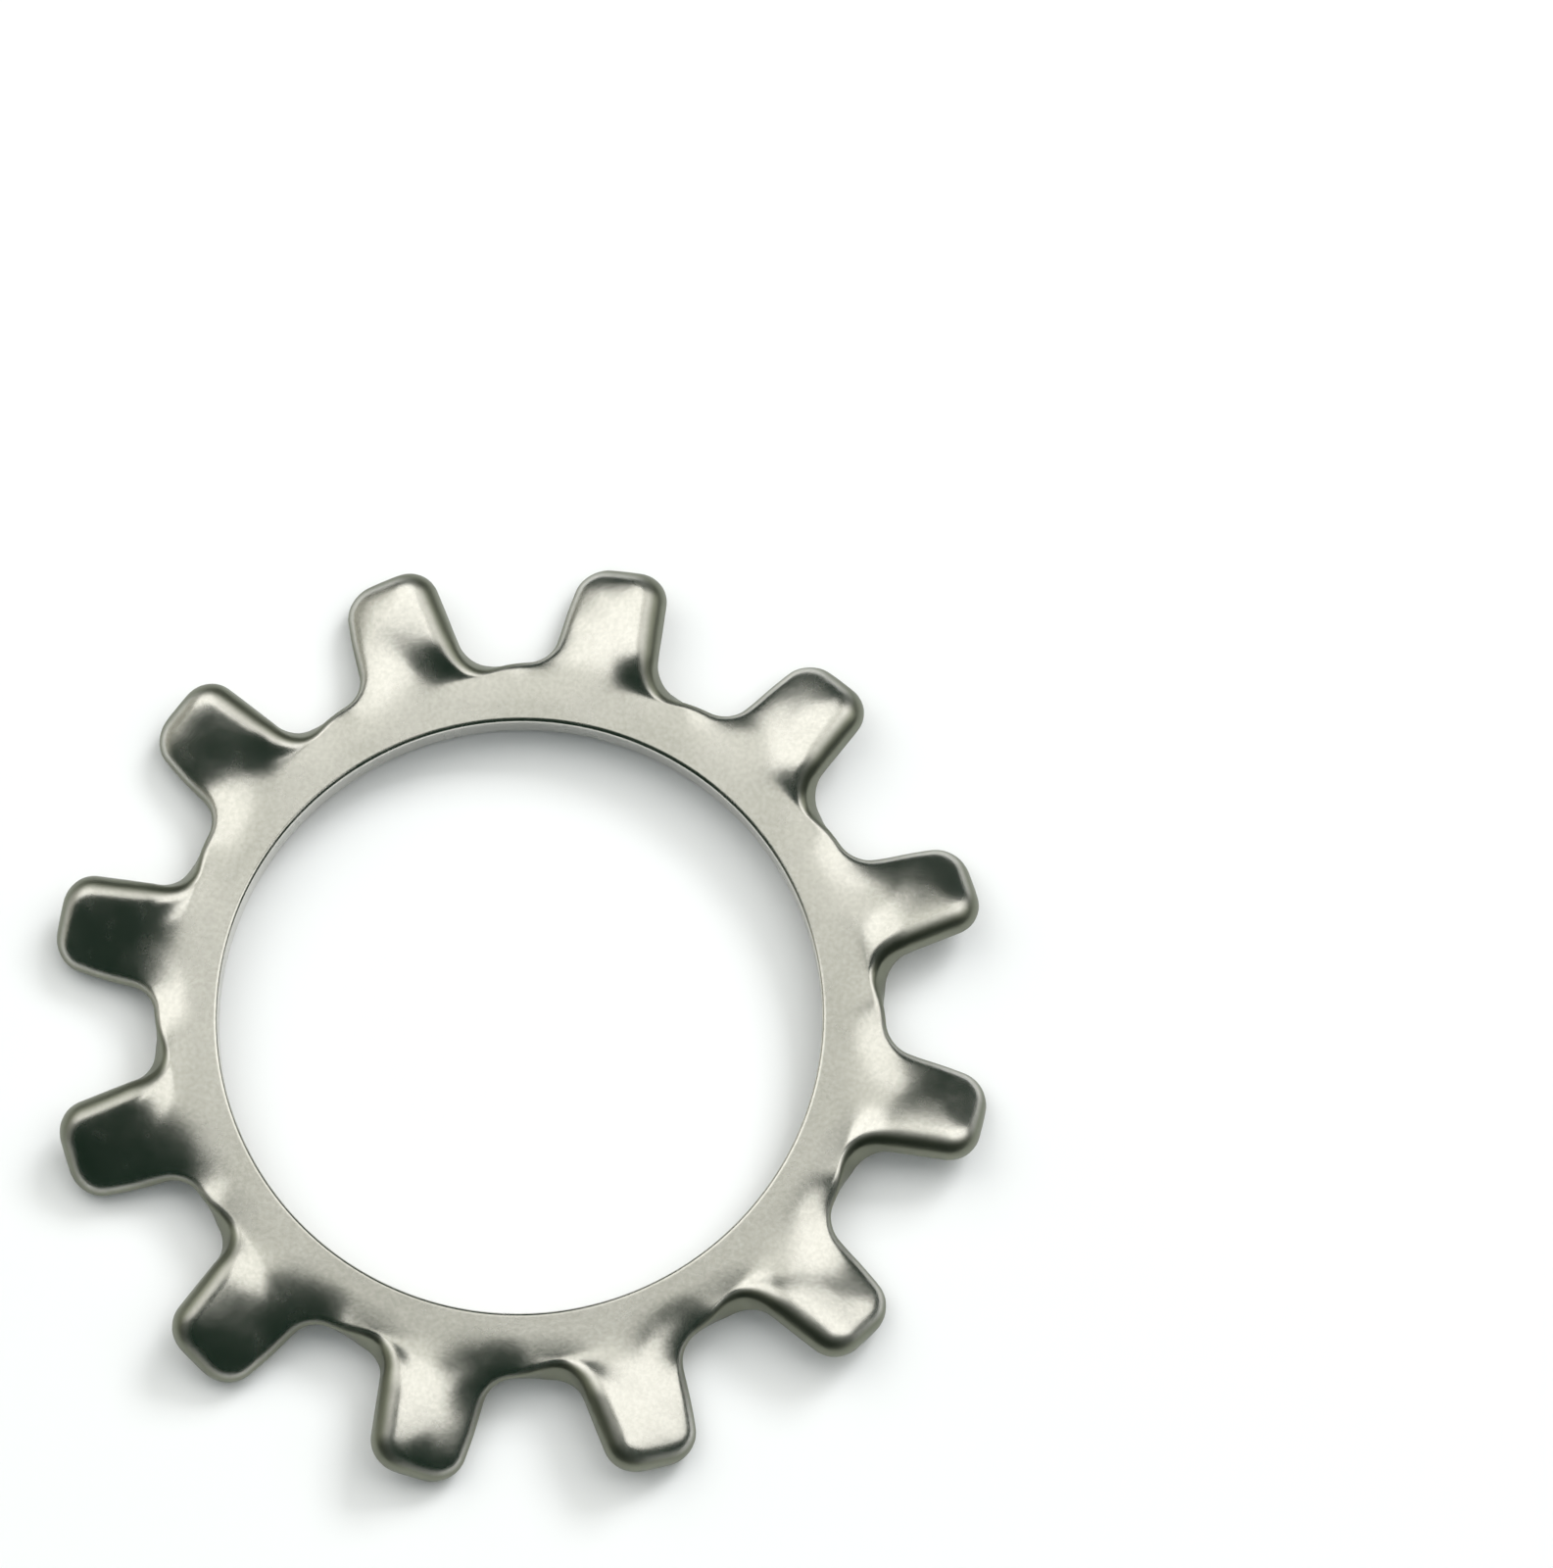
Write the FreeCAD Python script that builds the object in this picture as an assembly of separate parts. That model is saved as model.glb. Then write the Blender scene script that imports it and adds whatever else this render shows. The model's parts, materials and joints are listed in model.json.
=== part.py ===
import FreeCAD, Part
import math
import os

# Toothed lock washer with external teeth, for a 20 mm screw.
# Spring steel sheet is punched as a flat ring with twelve outward teeth. Each tooth is then
# twisted about its own radial axis, and tumbling takes the outer edges off.
# Millimetres and degrees. The origin is the centre of the bore, halfway through the sheet, and
# the bore's axis is Z. One tooth is worked out along +X and then repeated round the ring.

# Ring
bore_diameter = 21.0
bore_edge_break = 0.12
ring_width = 2.15
flat_land_width = 0.5
sheet_thickness = 1.4

# Teeth, as they are punched
tooth_count = 12
tooth_length = 3.85
tooth_width_at_root = 3.66
tooth_width_at_tip = 2.95
root_fillet_radius = 1.1
tip_corner_radius = 0.8
outer_edge_break = 0.45

# Twist of the teeth, seen from above: the clockwise flank is up and the other one down
twist_angle = 23.0
twist_length = 3.8

# How finely the curved surfaces are drawn
half_tooth_step_count = 12
half_pitch_step_count = 4
outward_step_count = 3

half_sheet = sheet_thickness / 2
bore_radius = bore_diameter / 2
bore_mouth_radius = bore_radius + bore_edge_break
root_radius = bore_radius + ring_width
outer_radius = root_radius + tooth_length
pitch = 2 * math.pi / tooth_count
half_pitch = pitch / 2
bend_radius = bore_mouth_radius + flat_land_width
land_radius = bend_radius - flat_land_width / 3
twist_slope = math.tan(math.radians(twist_angle))
punch_reach = sheet_thickness + twist_slope * tooth_width_at_root / 2


def rise(fraction):
    """Goes smoothly from 0 to 1, level and without curvature at both ends."""
    f = min(max(fraction, 0.0), 1.0)
    return f ** 3 * (10 - 15 * f + 6 * f ** 2)


def sheet_height(x, y):
    """Height of the sheet's middle surface: straight across a tooth, level between two teeth."""
    radius = math.hypot(x, y)
    turn = tooth_count * math.atan2(y, x)
    wave = math.sin(turn) - math.sin(2 * turn) / 5 + math.sin(3 * turn) / 45
    across = radius * wave * 3 / (2 * tooth_count)
    return -twist_slope * rise((radius - bend_radius) / twist_length) * across


def sheet_slopes(x, y):
    """Slopes of the middle surface along X and Y."""
    step = sheet_thickness / 1000
    along_x = (sheet_height(x + step, y) - sheet_height(x - step, y)) / (2 * step)
    along_y = (sheet_height(x, y + step) - sheet_height(x, y - step)) / (2 * step)
    return along_x, along_y


def circle_crossing(radius, foot, slope):
    """Where the line y = foot + slope * x crosses a circle about the origin, at x > 0."""
    a = 1 + slope ** 2
    b = slope * foot
    x = (-b + math.sqrt(b ** 2 - a * (foot ** 2 - radius ** 2))) / a
    return x, foot + slope * x


def half_blank():
    """Edge of the flat blank from a tooth's tip to the middle of the gap beside it.

    Each piece is its length and a function from a share of it to the point."""
    slope = (tooth_width_at_tip - tooth_width_at_root) / (2 * tooth_length)
    foot = tooth_width_at_root / 2 - slope * root_radius
    lean = math.atan(slope)
    reach = 1 / math.cos(lean)
    corner = circle_crossing(outer_radius - tip_corner_radius, foot - tip_corner_radius * reach, slope)
    fillet = circle_crossing(root_radius + root_fillet_radius, foot + root_fillet_radius * reach, slope)
    corner_angle = math.atan2(corner[1], corner[0])
    fillet_angle = math.atan2(fillet[1], fillet[0])
    across = lean + math.pi / 2

    def arc(centre, radius, start, end):
        def at(share):
            angle = start + (end - start) * share
            return centre[0] + radius * math.cos(angle), centre[1] + radius * math.sin(angle)
        return radius * abs(end - start), at

    def flank(share):
        start_x = corner[0] - tip_corner_radius * math.sin(lean)
        end_x = fillet[0] + root_fillet_radius * math.sin(lean)
        x = start_x + (end_x - start_x) * share
        return x, foot + slope * x

    flank_length = (corner[0] - fillet[0] - (tip_corner_radius + root_fillet_radius) * math.sin(lean)) * reach
    origin = (0.0, 0.0)
    return [
        arc(origin, outer_radius, 0.0, corner_angle),
        arc(corner, tip_corner_radius, corner_angle, across),
        (flank_length, flank),
        arc(fillet, root_fillet_radius, across - math.pi, fillet_angle - math.pi),
        arc(origin, root_radius, fillet_angle, half_pitch),
    ]


def blank_edge(step):
    """Point of the blank's edge a number of even steps round from a tooth's tip."""
    turns = round(step / (2 * half_tooth_step_count))
    near = step - turns * 2 * half_tooth_step_count
    pieces = half_blank()
    left = abs(near) / half_tooth_step_count * sum(length for length, at in pieces)
    for length, at in pieces[:-1]:
        if left <= length:
            break
        left -= length
    else:
        length, at = pieces[-1]
    x, y = at(min(left / length, 1.0))
    y = math.copysign(y, near)
    cos, sin = math.cos(turns * pitch), math.sin(turns * pitch)
    return x * cos - y * sin, x * sin + y * cos


def smooth_face(columns, degree):
    """Smooth face over one pitch; each column runs outward or upward, one more at each end."""
    along, across = len(columns), len(columns[0])
    surface = Part.BSplineSurface()
    surface.buildFromPolesMultsKnots(
        columns,
        [1] * (along + 4),
        [degree + 1] + [1] * (across - degree - 1) + [degree + 1],
        [float(k) for k in range(along + 4)],
        [float(k) for k in range(across - degree + 1)],
        False,
        False,
        3,
        degree,
    )
    surface.segment(3.0, float(along), 0.0, float(across - degree))
    return surface.toShape()


def sheet_face(side):
    """Top (1) or underside (-1) of the bent sheet over one pitch, past the tip of the tooth."""
    step_out = (outer_radius + half_sheet - bend_radius) / outward_step_count
    radii = [land_radius] + [bend_radius + step_out * k for k in range(outward_step_count + 1)]
    columns = []
    last = half_pitch_step_count + 1
    for k in range(-last, last + 1):
        angle = half_pitch * k / half_pitch_step_count
        column = []
        for radius in radii:
            x, y = radius * math.cos(angle), radius * math.sin(angle)
            slope_x, slope_y = sheet_slopes(x, y)
            offset = side * half_sheet * math.sqrt(1 + slope_x ** 2 + slope_y ** 2)
            column.append(FreeCAD.Vector(x, y, sheet_height(x, y) + offset))
        columns.append(column)
    return smooth_face(columns, 3)


def punched_wall():
    """Wall round one tooth, square to the bent sheet, from well below it to well above."""
    columns = []
    last = half_tooth_step_count + 1
    for step in range(-last, last + 1):
        x, y = blank_edge(step)
        slope_x, slope_y = sheet_slopes(x, y)
        middle = FreeCAD.Vector(x, y, sheet_height(x, y))
        normal = FreeCAD.Vector(-slope_x, -slope_y, 1)
        columns.append([middle + normal * (end - middle.z) for end in (-punch_reach, punch_reach)])
    return smooth_face(columns, 1)


def around(shape):
    """Copies of a shape, one for each tooth."""
    centre, axis = FreeCAD.Vector(0, 0, 0), FreeCAD.Vector(0, 0, 1)
    return [shape.rotated(centre, axis, 360 * k / tooth_count) for k in range(tooth_count)]


def lid(faces, belongs):
    """Flat face over the closed row of edges whose ends all belong to it."""
    edges = [edge for face in faces for edge in face.Edges if all(belongs(v) for v in edge.Vertexes)]
    return Part.Face(Part.Wire(Part.sortEdges(edges)[0]))


def closed_solid(faces):
    shell = Part.makeShell(faces)
    shell.sewShape()
    solid = Part.Solid(shell)
    if solid.Volume < 0:
        solid.reverse()
    return solid


def bent_sheet():
    """Disc of sheet with the twist of all the teeth pressed into it, not punched yet."""
    def inside(vertex):
        return math.hypot(vertex.X, vertex.Y) < bend_radius

    def outside(vertex):
        return math.hypot(vertex.X, vertex.Y) > outer_radius

    tops, undersides = around(sheet_face(1)), around(sheet_face(-1))
    rims = []
    for pair in zip(tops, undersides):
        ends = [edge for face in pair for edge in face.Edges if all(outside(v) for v in edge.Vertexes)]
        rims.append(Part.makeRuledSurface(ends[0], ends[1]))
    return closed_solid(tops + undersides + rims + [lid(tops, inside), lid(undersides, inside)])


def punched_outline():
    """Everything inside the outline of the teeth."""
    walls = around(punched_wall())
    lids = [lid(walls, lambda vertex: vertex.Z > half_sheet), lid(walls, lambda vertex: vertex.Z < -half_sheet)]
    return closed_solid(walls + lids)


def bore_with_broken_edges():
    """What is taken away for the bore, turned about the axis."""
    straight = half_sheet - bore_edge_break
    points = [
        (0, punch_reach),
        (bore_mouth_radius + punch_reach - half_sheet, punch_reach),
        (bore_radius, straight),
        (bore_radius, -straight),
        (bore_mouth_radius + punch_reach - half_sheet, -punch_reach),
        (0, -punch_reach),
    ]
    profile = Part.makePolygon([FreeCAD.Vector(x, 0, z) for x, z in points + points[:1]])
    return Part.Face(profile).revolve(FreeCAD.Vector(0, 0, 0), FreeCAD.Vector(0, 0, 1), 360)


def make_washer():
    ring = bent_sheet().common(punched_outline()).cut(bore_with_broken_edges())
    outer_edges = []
    for edge in ring.Edges:
        middle = edge.valueAt((edge.FirstParameter + edge.LastParameter) / 2)
        if math.hypot(middle.x, middle.y) > (root_radius + outer_radius) / 2:
            outer_edges.append(edge)
    return ring.makeChamfer(outer_edge_break, outer_edges).Solids[0]


washer = make_washer()
os.makedirs("parts", exist_ok=True)
washer.exportStep("parts/washer.step")
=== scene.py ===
import json
import math

import bpy
from mathutils import Matrix, Vector
from mathutils.kdtree import KDTree


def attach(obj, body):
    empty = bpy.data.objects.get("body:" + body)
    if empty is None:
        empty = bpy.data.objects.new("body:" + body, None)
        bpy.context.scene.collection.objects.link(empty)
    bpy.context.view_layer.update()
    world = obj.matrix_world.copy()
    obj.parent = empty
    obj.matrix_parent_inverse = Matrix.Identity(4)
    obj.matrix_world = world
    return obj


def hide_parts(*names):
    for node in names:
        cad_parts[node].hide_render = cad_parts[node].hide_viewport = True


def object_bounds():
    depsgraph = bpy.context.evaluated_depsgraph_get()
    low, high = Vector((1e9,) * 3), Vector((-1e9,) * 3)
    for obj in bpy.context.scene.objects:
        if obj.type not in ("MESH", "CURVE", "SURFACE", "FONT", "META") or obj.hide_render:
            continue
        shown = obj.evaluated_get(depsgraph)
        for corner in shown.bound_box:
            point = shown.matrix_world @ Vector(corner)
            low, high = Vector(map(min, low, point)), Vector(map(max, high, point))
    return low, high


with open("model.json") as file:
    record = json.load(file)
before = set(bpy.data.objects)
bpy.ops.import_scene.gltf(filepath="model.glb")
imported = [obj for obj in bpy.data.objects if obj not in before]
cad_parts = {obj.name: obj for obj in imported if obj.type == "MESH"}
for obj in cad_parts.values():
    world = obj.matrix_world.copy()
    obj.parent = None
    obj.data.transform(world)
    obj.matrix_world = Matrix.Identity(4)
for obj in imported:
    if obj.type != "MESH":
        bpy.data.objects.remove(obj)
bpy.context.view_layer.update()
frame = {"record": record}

# Millimetres, as in the solid. Meshes, camera and lamps are in metres.
MM = 0.001

# The washer: bore and sheet come from the record, and the rest of the outline repeats the solid's
# sizes, but for the tip corners, which tumbling has made rounder
mounts = {mount["name"]: mount for mount in frame["record"]["mounts"]}
BORE_RADIUS = mounts["bore"]["dims"]["r_mm"]
HALF_SHEET = mounts["top_land"]["pos_m"][2] / MM
TOOTH_COUNT = 12
OUTER_RADIUS = 16.5
ROOT_RADIUS = 12.65
TOOTH_WIDTH_AT_ROOT = 3.66
TOOTH_WIDTH_AT_TIP = 2.95
ROOT_FILLET_RADIUS = 1.1
TIP_CORNER_RADIUS = 1.1

# The bore's edge: a crisp break, with a narrow strip on each side that keeps its shading crisp
BORE_EDGE_BREAK = 0.12
BORE_EDGE_STRIP = 0.05
BORE_BREAK_SHARE = 0.3

# The twist: each flank starts at its own radius and takes its own length to reach full slope
TWIST_SLOPE = math.tan(math.radians(23.0))
RAISED_START = 12.0
RAISED_LENGTH = 1.9
LOWERED_START = 10.95
LOWERED_LENGTH = 4.4
FLANK_BLEND = 0.8
SLOPE_STEP = 0.0014

# Tumbling: width, depth and power of a slow rounding of the top
RING_ROUNDING = (1.4, 0.1, 1.6)
RAISED_ROUNDING = (1.6, 0.24, 1.5)
LOWERED_ROUNDING = (1.8, 0.2, 2.0)

# Tumbling: width and depth of the tight rounding of the edges
RING_EDGE = (0.3, 0.2)
RAISED_EDGE = (0.62, 0.48)
LOWERED_EDGE = (0.5, 0.34)
UNDERSIDE_EDGE = (0.9, 0.45)

# Both roundings stop just short of the rim, where their curves would stand upright
NEAREST_SLOW = 0.999
NEAREST_TIGHT = 0.9999

# Where the ring's rounding turns into the teeth's, and how their tips droop
TOOTH_ROUNDING_START = 12.15
TOOTH_ROUNDING_LENGTH = 2.0
DROOP_RADIUS = 14.3
RAISED_DROOP = 0.025
LOWERED_DROOP = 0.06

# How finely the washer is drawn
STEPS_ROUND_HALF_TOOTH = 40
ROWS_ACROSS_WEB = 26
ROWS_SPACING_POWER = 1.5
OUTLINE_POINTS_BETWEEN_STEPS = 8
OUTLINE_OVERLAP_STEPS = 4

PITCH = 2 * math.pi / TOOTH_COUNT
HALF_PITCH = PITCH / 2
STEPS_ROUND_TOOTH = 2 * STEPS_ROUND_HALF_TOOTH
BORE_MOUTH_RADIUS = BORE_RADIUS + BORE_EDGE_BREAK
WEB_START_RADIUS = BORE_MOUTH_RADIUS + BORE_EDGE_STRIP
SPOKE_INSET = RING_ROUNDING[0]


def rise(fraction):
    """Smooth step from 0 to 1, level and unbent at both ends."""
    f = min(max(fraction, 0.0), 1.0)
    return f ** 3 * (10 - 15 * f + 6 * f ** 2)


def across_tooth(x, y):
    """Distance from a tooth's middle line, positive on its lowered side, nil between two teeth.

    The three waves together run straight through the middle of the tooth."""
    turn = TOOTH_COUNT * math.atan2(y, x)
    wave = math.sin(turn) - math.sin(2 * turn) / 5 + math.sin(3 * turn) / 45
    return math.hypot(x, y) * wave * 3 / (2 * TOOTH_COUNT)


def between(raised, lowered, across):
    """Value on a tooth whose two sides have different ones."""
    return raised + (lowered - raised) * (0.5 + 0.5 * math.tanh(across / FLANK_BLEND))


def sheet_height(x, y):
    """Height of the sheet's middle surface: straight across a tooth, level between two teeth."""
    across = across_tooth(x, y)
    start = between(RAISED_START, LOWERED_START, across)
    length = between(RAISED_LENGTH, LOWERED_LENGTH, across)
    return -TWIST_SLOPE * rise((math.hypot(x, y) - start) / length) * across


def on_sheet(x, y, offset):
    """Point at a distance from the middle surface, square to it."""
    ahead_x, behind_x = sheet_height(x + SLOPE_STEP, y), sheet_height(x - SLOPE_STEP, y)
    ahead_y, behind_y = sheet_height(x, y + SLOPE_STEP), sheet_height(x, y - SLOPE_STEP)
    slope_x = (ahead_x - behind_x) / (2 * SLOPE_STEP)
    slope_y = (ahead_y - behind_y) / (2 * SLOPE_STEP)
    normal = Vector((-slope_x, -slope_y, 1)).normalized()
    return Vector((x, y, sheet_height(x, y))) + normal * offset


def circle_crossing(radius, foot, slope):
    """Where the line y = foot + slope * x crosses a circle about the origin, at x > 0."""
    a = 1 + slope ** 2
    b = slope * foot
    x = (-b + math.sqrt(b ** 2 - a * (foot ** 2 - radius ** 2))) / a
    return x, foot + slope * x


def arc(centre, radius, start, end, side):
    """Length of an arc, and its point and way out of the metal at a share of its length."""
    def at(share):
        angle = start + (end - start) * share
        way = (math.cos(angle), math.sin(angle))
        point = (centre[0] + radius * way[0], centre[1] + radius * way[1])
        return point, (side * way[0], side * way[1])
    return radius * abs(end - start), at


def half_blank():
    """Edge of the flat blank from a tooth's tip to the middle of the gap beside it."""
    slope = (TOOTH_WIDTH_AT_TIP - TOOTH_WIDTH_AT_ROOT) / (2 * (OUTER_RADIUS - ROOT_RADIUS))
    foot = TOOTH_WIDTH_AT_ROOT / 2 - slope * ROOT_RADIUS
    lean = math.atan(slope)
    reach = 1 / math.cos(lean)
    corner_foot = foot - TIP_CORNER_RADIUS * reach
    fillet_foot = foot + ROOT_FILLET_RADIUS * reach
    corner = circle_crossing(OUTER_RADIUS - TIP_CORNER_RADIUS, corner_foot, slope)
    fillet = circle_crossing(ROOT_RADIUS + ROOT_FILLET_RADIUS, fillet_foot, slope)
    corner_angle = math.atan2(corner[1], corner[0])
    fillet_angle = math.atan2(fillet[1], fillet[0])
    across = lean + math.pi / 2
    flank_start = corner[0] - TIP_CORNER_RADIUS * math.sin(lean)
    flank_end = fillet[0] + ROOT_FILLET_RADIUS * math.sin(lean)

    def flank(share):
        x = flank_start + (flank_end - flank_start) * share
        return (x, foot + slope * x), (math.cos(across), math.sin(across))

    origin = (0.0, 0.0)
    return [
        arc(origin, OUTER_RADIUS, 0.0, corner_angle, 1),
        arc(corner, TIP_CORNER_RADIUS, corner_angle, across, 1),
        ((flank_start - flank_end) * reach, flank),
        arc(fillet, ROOT_FILLET_RADIUS, across - math.pi, fillet_angle - math.pi, -1),
        arc(origin, ROOT_RADIUS, fillet_angle, HALF_PITCH, 1),
    ]


PIECES = half_blank()
HALF_BLANK_LENGTH = sum(length for length, at in PIECES)


def blank_edge(step):
    """Point of the blank's edge and the way out, a number of steps round from a tooth's tip."""
    turns = round(step / STEPS_ROUND_TOOTH)
    near = step - turns * STEPS_ROUND_TOOTH
    left = abs(near) / STEPS_ROUND_HALF_TOOTH * HALF_BLANK_LENGTH
    for length, at in PIECES[:-1]:
        if left <= length:
            break
        left -= length
    else:
        length, at = PIECES[-1]
    (x, y), (out_x, out_y) = at(min(left / length, 1.0))
    side = math.copysign(1, near)
    cos, sin = math.cos(turns * PITCH), math.sin(turns * PITCH)
    point = (x * cos - side * y * sin, x * sin + side * y * cos)
    out = (out_x * cos - side * out_y * sin, out_x * sin + side * out_y * cos)
    return point, out


def outline_of_one_tooth():
    """Closely spaced points on the edge of one tooth's pitch and a little past its ends."""
    steps = STEPS_ROUND_TOOTH + 2 * OUTLINE_OVERLAP_STEPS
    first = STEPS_ROUND_HALF_TOOTH + OUTLINE_OVERLAP_STEPS
    outline = KDTree(steps * OUTLINE_POINTS_BETWEEN_STEPS)
    for k in range(steps * OUTLINE_POINTS_BETWEEN_STEPS):
        point, out = blank_edge(k / OUTLINE_POINTS_BETWEEN_STEPS - first)
        outline.insert((*point, 0), k)
    outline.balance()
    return outline


OUTLINE = outline_of_one_tooth()


def tight_edge(distance, width, depth):
    """What a round edge takes off at a distance from the rim, and how near that is, 0 to 1."""
    near = min(max(1 - distance / width, 0), NEAREST_TIGHT)
    return depth * (1 - math.sqrt(1 - near ** 2)), near


def worn_away(x, y, turn):
    """What tumbling has taken off the top and the underside, and how near the rim is, 0 to 1."""
    cos, sin = math.cos(turn), math.sin(turn)
    distance = OUTLINE.find((x * cos + y * sin, y * cos - x * sin, 0))[2]
    radius = math.hypot(x, y)
    across = across_tooth(x, y)
    tooth_share = rise((radius - TOOTH_ROUNDING_START) / TOOTH_ROUNDING_LENGTH)

    def here(on_ring, on_raised, on_lowered):
        return [
            ring + (between(raised, lowered, across) - ring) * tooth_share
            for ring, raised, lowered in zip(on_ring, on_raised, on_lowered)]

    width, depth, power = here(RING_ROUNDING, RAISED_ROUNDING, LOWERED_ROUNDING)
    near = min(max(1 - distance / width, 0), NEAREST_SLOW)
    slow = depth * (1 - (1 - near ** power) ** (1 / power))
    # The nearness to the rim also sets the steel's painted rim shade and its rougher worn edges
    tight, shade_and_wear = tight_edge(distance, *here(RING_EDGE, RAISED_EDGE, LOWERED_EDGE))
    droop = between(RAISED_DROOP, LOWERED_DROOP, across) * max(radius - DROOP_RADIUS, 0) ** 2
    underside, _ = tight_edge(distance, *UNDERSIDE_EDGE)
    return slow + tight + droop, underside, shade_and_wear


def spoke_angle(step, point, out):
    """Angle of a row across the ring: halfway between even spacing and the way to the edge."""
    inset_x, inset_y = point[0] - out[0] * SPOKE_INSET, point[1] - out[1] * SPOKE_INSET
    even = step / STEPS_ROUND_HALF_TOOTH * HALF_PITCH
    polar = math.atan2(inset_y, inset_x)
    polar += 2 * math.pi * round((even - polar) / (2 * math.pi))
    return (even + polar) / 2


def section(step):
    """Closed row of points round the sheet, each with how near the rim it is, for the painted rim
    shade and the rougher worn edges: out over the top, back underneath.
    """
    point, out = blank_edge(step)
    angle = spoke_angle(step, point, out)
    way_x, way_y = math.cos(angle), math.sin(angle)
    turn = round(step / STEPS_ROUND_TOOTH) * PITCH
    top, bottom = [], []

    def pair(x, y, above, below, shade_and_wear=0.0):
        top.append((on_sheet(x, y, above), shade_and_wear))
        bottom.append((on_sheet(x, y, -below), shade_and_wear))

    part_break = BORE_EDGE_BREAK * BORE_BREAK_SHARE
    for radius, height in (
        (BORE_RADIUS, HALF_SHEET - BORE_EDGE_BREAK - BORE_EDGE_STRIP),
        (BORE_RADIUS, HALF_SHEET - BORE_EDGE_BREAK),
        (BORE_RADIUS + part_break, HALF_SHEET - part_break),
        (BORE_MOUTH_RADIUS, HALF_SHEET),
    ):
        pair(radius * way_x, radius * way_y, height, height)
    start_x, start_y = WEB_START_RADIUS * way_x, WEB_START_RADIUS * way_y
    for k in range(ROWS_ACROSS_WEB + 1):
        share = 1 - (1 - k / ROWS_ACROSS_WEB) ** ROWS_SPACING_POWER
        x, y = start_x + (point[0] - start_x) * share, start_y + (point[1] - start_y) * share
        off_top, off_bottom, shade_and_wear = worn_away(x, y, turn)
        pair(x, y, HALF_SHEET - off_top, HALF_SHEET - off_bottom, shade_and_wear)
    return top + bottom[::-1]


def show(made):
    bpy.context.scene.collection.objects.link(made)
    return made


def make_washer():
    count = STEPS_ROUND_TOOTH * TOOTH_COUNT
    rows = [section(step) for step in range(count)]
    length = len(rows[0])
    points = [point * MM for row in rows for point, shade_and_wear in row]
    faces = []
    for i in range(count):
        here, there = i * length, (i + 1) % count * length
        for j in range(length):
            k = (j + 1) % length
            faces.append((here + j, there + j, there + k, here + k))
    mesh = bpy.data.meshes.new("lock_washer")
    mesh.from_pydata(points, [], faces)
    mesh.shade_smooth()
    # How near the rim each point is: it sets the painted rim shade and the rougher worn edges
    rim_shade_and_wear = mesh.attributes.new("rim_shade_and_wear", "FLOAT", "POINT")
    rim_shade_and_wear.data.foreach_set("value", [shade_and_wear for row in rows for point, shade_and_wear in row])
    return show(bpy.data.objects.new("lock_washer", mesh))


# Steel: fine grain over slow clouds where the finish is duller, rougher worn edges, and painted
# shade that darkens the rims, standing in for the shaded ground they reflect.
# Noise scales are per metre.
GRAIN = {"Scale": 6000, "Detail": 3, "Roughness": 0.6}
MOTTLE = {"Scale": 900, "Detail": 4, "Roughness": 0.6}
CLOUDS = {"Scale": 220, "Detail": 2, "Roughness": 0.5}
BRIGHT_STEEL = ((0.62, 0.61, 0.57, 1), (0.68, 0.67, 0.63, 1))
DULL_STEEL = ((0.555, 0.55, 0.505, 1), (0.62, 0.61, 0.57, 1))
# Painted shade on the rims: a dark olive standing in for the shaded ground that the rims reflect
PAINTED_RIM_SHADE = (0.22, 0.23, 0.18, 1)
GRAIN_RANGE = (0.3, 0.7)
MOTTLE_RANGE = (0.3, 0.7)
CLOUD_RANGE = (0.35, 0.65)
# Nearness to the rim over which the painted rim shade comes in
RIM_SHADE_RANGE = (0.35, 0.8)
WORN_ROUGHNESS_RANGE = (0.1, 0.7)
LEAST_ROUGHNESS = 0.22
MOST_ROUGHNESS = 0.28
ROUGHER_WHERE_WORN = 0.18
BUMP_STRENGTH = 0.2
BUMP_DISTANCE = 0.00001

# Sockets of the colour mix
MIX_SHARE, MIX_FIRST, MIX_SECOND, MIX_RESULT = 0, 6, 7, 2


def new_material(name):
    """Material with a plain shader on its output, its node tree and that shader."""
    material = bpy.data.materials.new(name)
    material.use_nodes = True
    tree = material.node_tree
    tree.nodes.clear()
    shader = tree.nodes.new("ShaderNodeBsdfPrincipled")
    out = tree.nodes.new("ShaderNodeOutputMaterial")
    tree.links.new(shader.outputs["BSDF"], out.inputs["Surface"])
    return material, tree, shader


def noise(tree, place, settings):
    node = tree.nodes.new("ShaderNodeTexNoise")
    for name, value in settings.items():
        node.inputs[name].default_value = value
    tree.links.new(place, node.inputs["Vector"])
    return node.outputs["Fac"]


def spread(tree, value, low, high, within):
    """Smooth change from low to high while the value goes through a range."""
    node = tree.nodes.new("ShaderNodeMapRange")
    node.interpolation_type = "SMOOTHSTEP"
    for name, setting in zip(("From Min", "From Max", "To Min", "To Max"), (*within, low, high)):
        node.inputs[name].default_value = setting
    tree.links.new(value, node.inputs["Value"])
    return node.outputs["Result"]


def mix(tree, share, first, second):
    """Mix of two colours, each a value or the output of a node."""
    node = tree.nodes.new("ShaderNodeMix")
    node.data_type = "RGBA"
    tree.links.new(share, node.inputs[MIX_SHARE])
    for socket, colour in ((node.inputs[MIX_FIRST], first), (node.inputs[MIX_SECOND], second)):
        if isinstance(colour, tuple):
            socket.default_value = colour
        else:
            tree.links.new(colour, socket)
    return node.outputs[MIX_RESULT]


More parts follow.
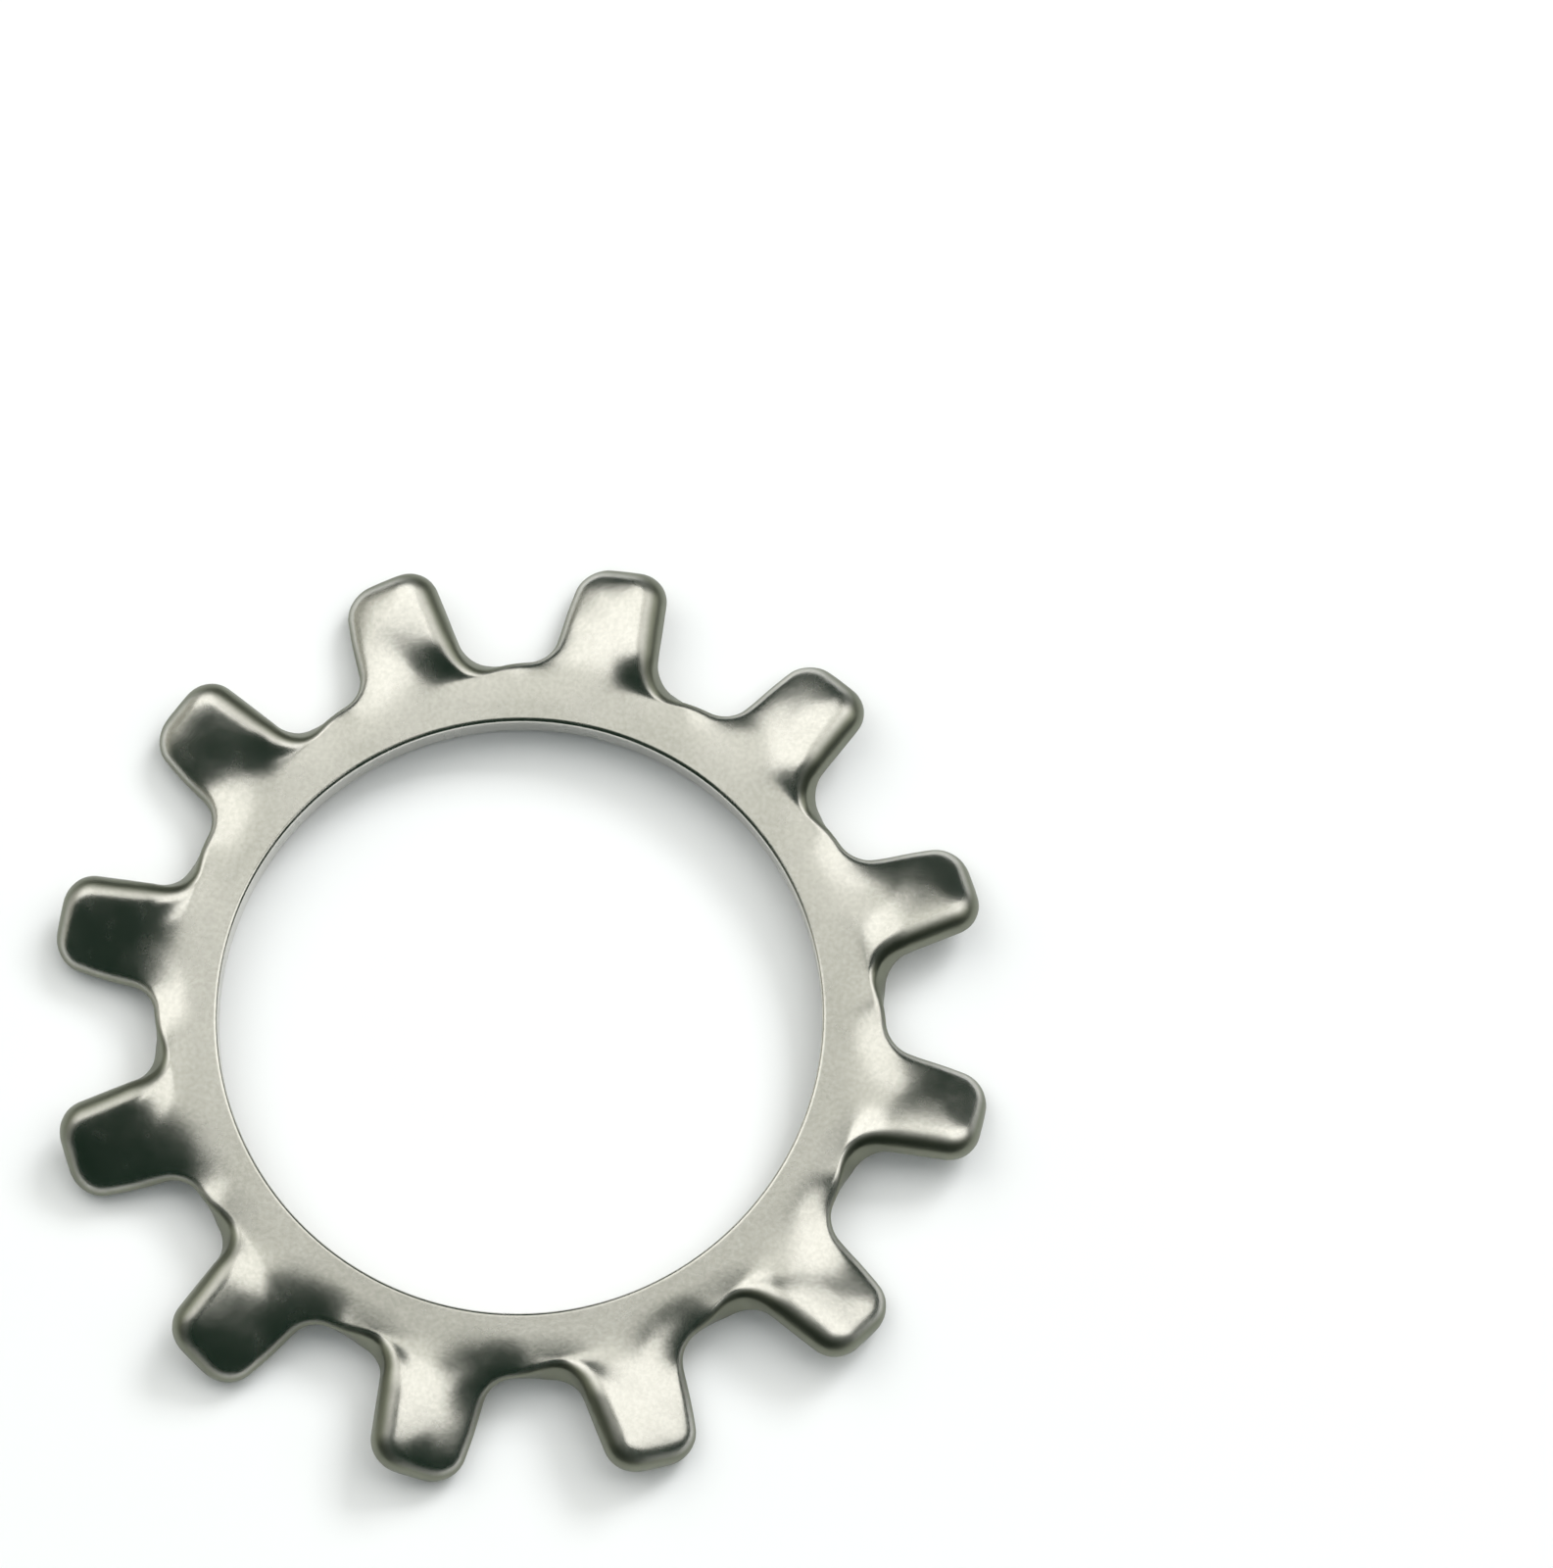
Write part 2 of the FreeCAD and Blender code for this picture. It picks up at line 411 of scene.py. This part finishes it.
def steel_material():
    material, tree, steel = new_material("satin_steel")
    steel.inputs["Metallic"].default_value = 1.0
    place = tree.nodes.new("ShaderNodeTexCoord").outputs["Object"]
    grain, mottle, clouds = (noise(tree, place, each) for each in (GRAIN, MOTTLE, CLOUDS))
    # How near the rim the surface is: it drives the painted rim shade and the rougher worn edges
    rim_shade_and_wear = tree.nodes.new("ShaderNodeAttribute")
    rim_shade_and_wear.attribute_name = "rim_shade_and_wear"
    shade_and_wear = rim_shade_and_wear.outputs["Fac"]

    speckle = spread(tree, grain, 0, 1, GRAIN_RANGE)
    bright, dull = (mix(tree, speckle, *each) for each in (BRIGHT_STEEL, DULL_STEEL))
    face = mix(tree, spread(tree, clouds, 0, 1, CLOUD_RANGE), dull, bright)
    # Painted shade: the base colour darkens towards the rims, standing in for the shaded ground
    # that the rims reflect
    colour = mix(tree, spread(tree, shade_and_wear, 0, 1, RIM_SHADE_RANGE), face, PAINTED_RIM_SHADE)
    tree.links.new(colour, steel.inputs["Base Color"])

    roughness = tree.nodes.new("ShaderNodeMath")
    roughness.operation = "ADD"
    on_face = spread(tree, mottle, LEAST_ROUGHNESS, MOST_ROUGHNESS, MOTTLE_RANGE)
    added = spread(tree, shade_and_wear, 0, ROUGHER_WHERE_WORN, WORN_ROUGHNESS_RANGE)
    tree.links.new(on_face, roughness.inputs[0])
    tree.links.new(added, roughness.inputs[1])
    tree.links.new(roughness.outputs[0], steel.inputs["Roughness"])

    bump = tree.nodes.new("ShaderNodeBump")
    bump.inputs["Strength"].default_value = BUMP_STRENGTH
    bump.inputs["Distance"].default_value = BUMP_DISTANCE
    tree.links.new(grain, bump.inputs["Height"])
    tree.links.new(bump.outputs["Normal"], steel.inputs["Normal"])
    return material


washer = make_washer()
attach(washer, "root")
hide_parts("washer")
washer.data.materials.append(steel_material())

# The ground
GROUND_HALF = 1.5
GROUND_COLOUR = (0.9, 0.9, 0.9, 1)
GROUND_ROUGHNESS = 0.8


def ground_material():
    material, tree, paint = new_material("white_ground")
    paint.inputs["Base Color"].default_value = GROUND_COLOUR
    paint.inputs["Roughness"].default_value = GROUND_ROUGHNESS
    return material


def make_ground(height):
    sides = ((-1, -1), (1, -1), (1, 1), (-1, 1))
    corners = [(x * GROUND_HALF, y * GROUND_HALF, height) for x, y in sides]
    mesh = bpy.data.meshes.new("ground")
    mesh.from_pydata(corners, [], [(0, 1, 2, 3)])
    mesh.materials.append(ground_material())
    return show(bpy.data.objects.new("ground", mesh))


ground = make_ground(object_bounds()[0].z)

# The camera stands where the photograph's perspective puts it. A gap of the washer, not a tooth,
# points right in the photograph, so camera and lamps are turned by half a pitch.
TURN = Matrix.Rotation(HALF_PITCH, 4, "Z")
CAMERA_PLACE = Vector((8.525, -86.78, 399.87)) * MM
CAMERA_AZIMUTH = math.radians(0.426)
CAMERA_ELEVATION = math.radians(76.657)
CAMERA_ROLL = math.radians(-1.817)
FOCAL_PIXELS = 12000
PHOTO_LONG_SIDE_PIXELS = 1600
SENSOR_WIDTH = 36
NEAREST_SEEN = 0.01
FARTHEST_SEEN = 10


def make_camera():
    forward = Vector((
        math.sin(CAMERA_AZIMUTH) * math.cos(CAMERA_ELEVATION),
        math.cos(CAMERA_AZIMUTH) * math.cos(CAMERA_ELEVATION),
        -math.sin(CAMERA_ELEVATION)))
    level = Vector((math.cos(CAMERA_AZIMUTH), -math.sin(CAMERA_AZIMUTH), 0))
    upright = level.cross(forward)
    right = level * math.cos(CAMERA_ROLL) + upright * math.sin(CAMERA_ROLL)
    up = upright * math.cos(CAMERA_ROLL) - level * math.sin(CAMERA_ROLL)
    stand = Matrix((right, up, -forward)).transposed().to_4x4()
    stand.translation = CAMERA_PLACE
    data = bpy.data.cameras.new("camera")
    data.sensor_width = SENSOR_WIDTH
    data.lens = FOCAL_PIXELS / PHOTO_LONG_SIDE_PIXELS * SENSOR_WIDTH
    data.clip_start = NEAREST_SEEN
    data.clip_end = FARTHEST_SEEN
    camera = show(bpy.data.objects.new("camera", data))
    camera.matrix_world = TURN @ stand
    return camera


bpy.context.scene.camera = make_camera()

# Lamps that face down: name, centre and size in metres from the photograph's side, radiance,
# colour, and whether the steel shows them
LAMPS = (
    ("west", (-0.91, 0.85, 1.0), (1.36, 1.5), 1.6, (1.0, 0.99, 0.95), True),
    ("east", (1.23, 0.42, 1.0), (2.0, 1.2), 1.5, (1.0, 0.99, 0.95), True),
    ("middle", (0, 0.61, 1.0), (0.45, 0.98), 1.02, (1.0, 0.99, 0.93), True),
    ("fill", (0, 0, 1.5), (3.0, 3.0), 0.65, (0.93, 0.97, 1.0), False),
    ("key", (0.85, 0.95, 0.85), (0.7, 0.7), 12.0, (0.96, 0.98, 1.0), False),
)


def softbox(name, centre, size, radiance, colour, seen):
    data = bpy.data.lights.new(name, "AREA")
    data.shape = "RECTANGLE"
    data.size, data.size_y = size
    data.energy = radiance * math.pi * size[0] * size[1]
    data.color = colour
    lamp = show(bpy.data.objects.new(name, data))
    lamp.matrix_world = TURN @ Matrix.Translation(centre)
    lamp.visible_glossy = seen


for lamp in LAMPS:
    softbox(*lamp)

# A dark room that brightens into a pale wall at the far left: share of -X in the direction,
# and colour, where the change starts and ends
DARK_ROOM = (0.78, (0.012, 0.028, 0.018, 1))
PALE_WALL = (0.96, (0.5, 0.5, 0.43, 1))


def make_room():
    world = bpy.data.worlds.new("studio")
    world.use_nodes = True
    tree = world.node_tree
    direction = tree.nodes.new("ShaderNodeTexCoord")
    parts = tree.nodes.new("ShaderNodeSeparateXYZ")
    left = tree.nodes.new("ShaderNodeMath")
    left.operation = "MULTIPLY"
    left.inputs[1].default_value = -1
    room = tree.nodes.new("ShaderNodeValToRGB")
    for element, (position, colour) in zip(room.color_ramp.elements, (DARK_ROOM, PALE_WALL)):
        element.position = position
        element.color = colour
    tree.links.new(direction.outputs["Generated"], parts.inputs[0])
    tree.links.new(parts.outputs["X"], left.inputs[0])
    tree.links.new(left.outputs[0], room.inputs["Fac"])
    tree.links.new(room.outputs["Color"], tree.nodes["Background"].inputs["Color"])
    return world


bpy.context.scene.world = make_room()
bpy.context.scene.view_settings.view_transform = "Standard"
